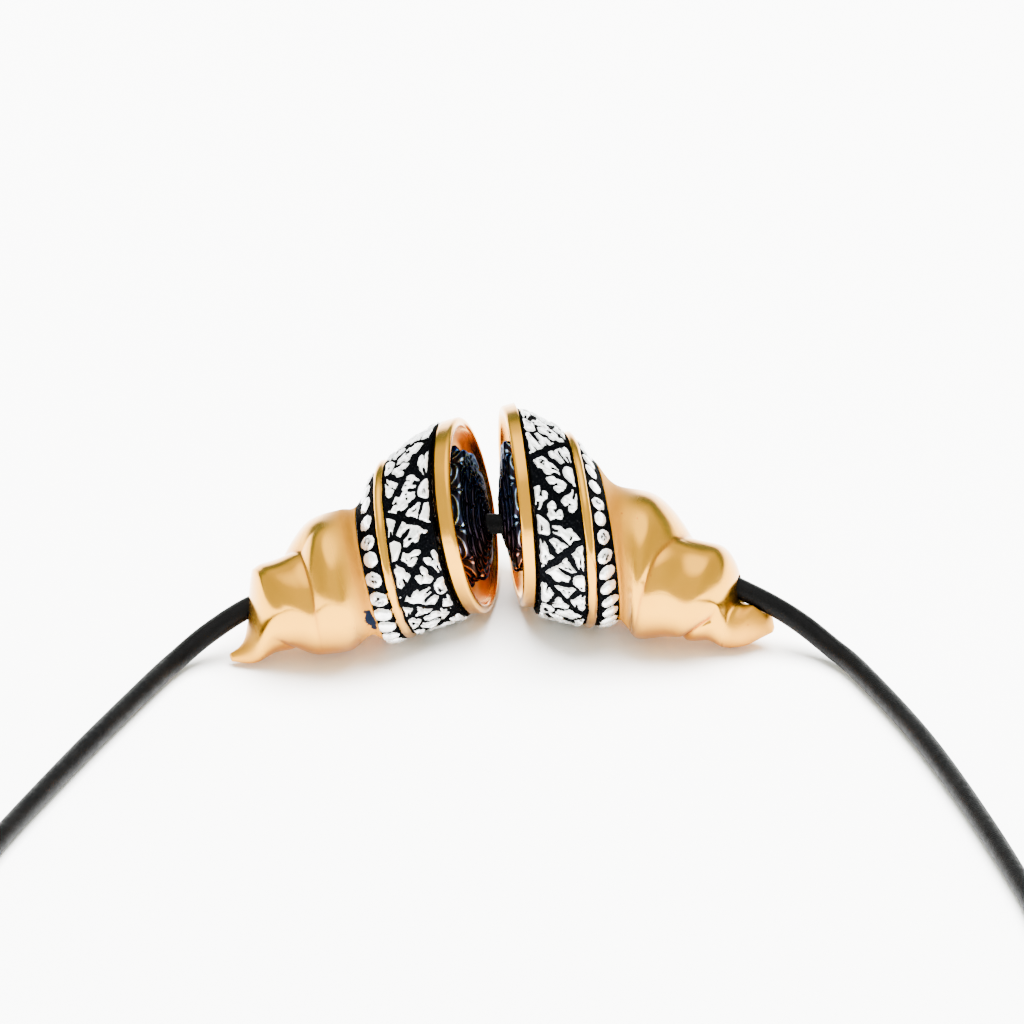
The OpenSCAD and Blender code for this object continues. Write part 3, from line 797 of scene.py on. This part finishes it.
def petal_row(k, hole):
    """One row of petals: how far down, near and out its points lie, and how strongly their raised lines
    get the painted highlight.
    """
    reach, count, foot, top, shift = rosette_rows[k]
    innermost = k == len(rosette_rows) - 1
    angle = turns(petal_sides)
    side_x = np.cos(np.radians(angle))
    side_y = np.sin(np.radians(angle))
    turned = from_angle(angle, 0) + 1.3 * wobble(np.stack([side_x, side_y], -1), 0.8, 60 + k)
    row_turn = turn_of_each_row * k
    pitch = 360 / count
    half_pitch = math.radians(pitch / 2)

    # The row's edge, in arcs: each petal's arc has its middle some way off the row's own.
    petal = petal_overlap * reach * math.sin(math.pi / count)
    stand = reach - petal
    off = np.radians(from_petal(turned - row_turn, pitch))
    edge = stand * np.cos(off) + np.sqrt(petal ** 2 - (stand * np.sin(off)) ** 2)
    shoulder = min(shoulder_radius, 0.8 * (top - foot))

    # The flat top of the row, from under the next row or from the cord's hole out to the shoulder.
    start = hole_radius if innermost else 0.84 * (rosette_rows[k + 1][0] - shoulder_radius)
    start_middle = hole if innermost else (shift, 0)
    start_x = start_middle[0] + start * side_x
    start_y = start_middle[1] + start * side_y
    t = np.linspace(0, 1, 20)[:, None]
    x = start_x + ((edge - shoulder) * side_x + shift - start_x) * t
    y = start_y + ((edge - shoulder) * side_y - start_y) * t
    far = np.hypot(x - shift, y)
    spin = np.degrees(np.arctan2(y, x - shift)) + turned - angle - row_turn
    spin = np.radians(from_petal(spin, pitch))
    inward = petal - np.hypot(far * np.cos(spin) - stand, far * np.sin(spin))
    seam = np.exp(-(np.abs(np.abs(spin) - half_pitch) * far / 0.14) ** 2)
    lines = sum(np.exp(-((inward - line) / 0.10) ** 2) for line in petal_lines)
    z = top - top_fall * (far / reach) ** 2 + 0.05 * lines - seam_depth * seam
    # The raised lines get the painted highlight, none in the seams between petals.
    rings = [(x, y, z, 1.7 * lines * (1 - seam))]

    # The round shoulder and the wall below it, with its ridges and the seams between its petals.
    drop = top - foot - shoulder
    tall = drop > 0.5
    wall_seam = np.exp(-(np.abs(np.abs(off) - half_pitch) * edge / 0.2) ** 2)
    arch = (np.abs(off) * edge / (half_pitch * reach)) ** 2
    round_the_shoulder = np.linspace(0.18, 1, 5)
    down_the_wall = 1 + np.linspace(0, drop, 17 if tall else 2)[1:]
    for depth in (*round_the_shoulder, *down_the_wall):
        lean = math.radians(90 * min(depth, 1))
        down_by = shoulder * (1 - math.cos(lean)) + max(depth - 1, 0)
        nest = 0.85 * arch * (1 + down_by)
        ridge = tall * sum(np.exp(-((down_by - nest - ridge_at) / 0.13) ** 2) for ridge_at in wall_ridges)
        radius = edge - shoulder + shoulder * math.sin(lean) + 0.05 * ridge - wall_seam_depth * wall_seam
        height = z[-1:] - down_by * (z[-1:] - foot) / (top - foot)
        # The wall's ridges get the painted highlight too.
        rings.append((radius * side_x + shift, radius * side_y, height, 1.1 * ridge * (1 - wall_seam)))

    # The hole for the cord, down through the middle of the innermost row.
    if innermost:
        bore_x = hole[0] + (hole_radius - 0.05) * side_x
        bore_y = hole[1] + (hole_radius - 0.05) * side_y
        bore_foot = (bore_x, bore_y, 0.4 + 0 * angle, 0 * angle)
        bore_top = (bore_x, bore_y, z[:1] - 0.1, 0 * angle)
        rings = [bore_foot, bore_top, *rings]
    return [np.concatenate(part) for part in zip(*rings)]


def blackened_silver(name):
    """Black silver, blue above and red below from a painted reflection of the gold, with painted
    highlights on its raised lines.
    """
    gold_reflection_black = (0.034, 0.013, 0.006, 1)
    blue_black = (0.006, 0.010, 0.026, 1)
    brown_black = (0.022, 0.013, 0.010, 1)
    gold_reflection_highlight = (0.85, 0.26, 0.05, 1)
    blue_highlight = (0.26, 0.44, 0.70, 1)
    made, tree, surface, place = new_finish(name)
    proud = add_node(tree, "Attribute", attribute_name="proud").outputs["Fac"]
    ragged = ramp(tree, mottle(tree, place, 1500, 4), 0.3, 0.7, -0.3, 0.3)
    bright = ramp(tree, combine(tree, proud, ragged), 0.45, 0.9)
    # Painted reflection of the gold: from 14 mm down to 8 mm above the table, the black and the painted
    # highlights turn red.
    height = ramp(tree, add_node(tree, "SeparateXYZ", {"Vector": place}).outputs["Z"], 0.008, 0.014)
    patina = ramp(tree, mottle(tree, place, 420), 0.4, 0.62, 0, 0.6)
    dark = blend_colour(tree, patina, blend_colour(tree, height, gold_reflection_black, blue_black), brown_black)
    feed(tree, surface, {
        # Painted highlights on the raised lines, orange below and blue above.
        "Base Color": blend_colour(tree, bright, dark, blend_colour(tree, height, gold_reflection_highlight, blue_highlight)),
        "Metallic": 1.0,
        "Specular Tint": (0.16, 0.20, 0.32, 1),
        "Roughness": ramp(tree, bright, 0, 1, 0.34, 0.26),
        "Normal": raised(tree, mottle(tree, place, 2400, 4), 0.3, 0.00008)})
    return made


rosette_black = blackened_silver("rosette_black")
for name, shell in shells.items():
    out, up, near = directions(shell, 0)
    down = -up
    middle = np.array(shell["sections"][0][:3])
    rosette_top = rosette_rows[-1][3] - dish_depth
    hole = cord_at_mouth - middle
    hole = hole + (rosette_top - hole @ out) / out[0] * x_way
    rows = []
    for k in range(len(rosette_rows)):
        # The fourth value is each point's painted highlight.
        x, y, z, bright = petal_row(k, (hole @ down, hole @ near))
        points = middle + x[..., None] * down + y[..., None] * near + (z - dish_depth)[..., None] * out
        rows.append(piece_from_rings(f"{name}_rosette_row_{k}", in_place(shell, points),
                                     flip=shell["mirror"] > 0, proud=np.clip(bright, 0, 1)))
    with bpy.context.temp_override(active_object=rows[0], object=rows[0], selected_editable_objects=rows,
                                   selected_objects=rows):
        bpy.ops.object.join()
    rosette = rows[0]
    rosette.name = name + "_rosette_cast"
    rosette.data.materials.append(rosette_black)
    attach(rosette, "root")
    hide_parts(name + "_rosette")

# Table top and studio.
# A plain white table with one large soft light high above it. The room over and before the beads is
# darker than what lies behind them, which the gold shows.
bpy.ops.mesh.primitive_plane_add(size=6, location=(0, 0, -0.0001))
table_top = bpy.context.object
table_top.name = "table_top"
paper_shade = (0.90, 0.90, 0.90, 1)
paper_white = (0.92, 0.92, 0.92, 1)
paper, tree, surface, place = new_finish("white_table")
feed(tree, surface, {
    "Base Color": blend_colour(tree, mottle(tree, place, 30), paper_shade, paper_white),
    "Roughness": 0.9,
    "Specular IOR Level": 0.1})
table_top.data.materials.append(paper)

behind_the_table = (8.5, 8.5, 8.5, 1)
straight_above = (4.8, 4.8, 4.8, 1)
room_low = (0.42, 0.60, 0.55, 1)
room_middle = (2.0, 2.05, 1.75, 1)
room_sides = (1.5, 1.58, 1.3, 1)

# Where one part of the surroundings goes over into the next: slopes up from behind the table, and
# shares of a direction's length sideways and straight up.
behind_ends = (math.radians(6), math.radians(18))
low_room_ends = (math.radians(34), math.radians(52))
sides_begin = (0.35, 0.85)
above_begins = (0.80, 0.93)
world = bpy.data.worlds.new("studio")
world.use_nodes = True
bpy.context.scene.world = world
tree = world.node_tree
facing = add_node(tree, "SeparateXYZ", {"Vector": add_node(tree, "TexCoord").outputs["Generated"]})
slope = combine(tree, facing.outputs["Z"], facing.outputs["Y"], "ARCTAN2")
sideways = add_node(tree, "Math", {0: facing.outputs["X"]}, operation="ABSOLUTE").outputs[0]
room = blend_colour(tree, ramp(tree, sideways, *sides_begin), room_middle, room_sides)
room = blend_colour(tree, ramp(tree, slope, *low_room_ends), room_low, room)
sky = blend_colour(tree, ramp(tree, slope, *behind_ends), behind_the_table, room)
sky = blend_colour(tree, ramp(tree, facing.outputs["Z"], *above_begins), sky, straight_above)
feed(tree, tree.nodes["Background"], {"Color": sky, "Strength": 1.0})

lamp_data = bpy.data.lights.new("soft_light", "AREA")
lamp_data.size = 1.2
lamp_data.energy = 210
lamp = put_in_scene("soft_light", lamp_data)
lamp.location = (0.15, 0.25, 1.3)
lamp.rotation_euler = lamp.location.to_track_quat("Z", "Y").to_euler()
lamp.visible_glossy = False
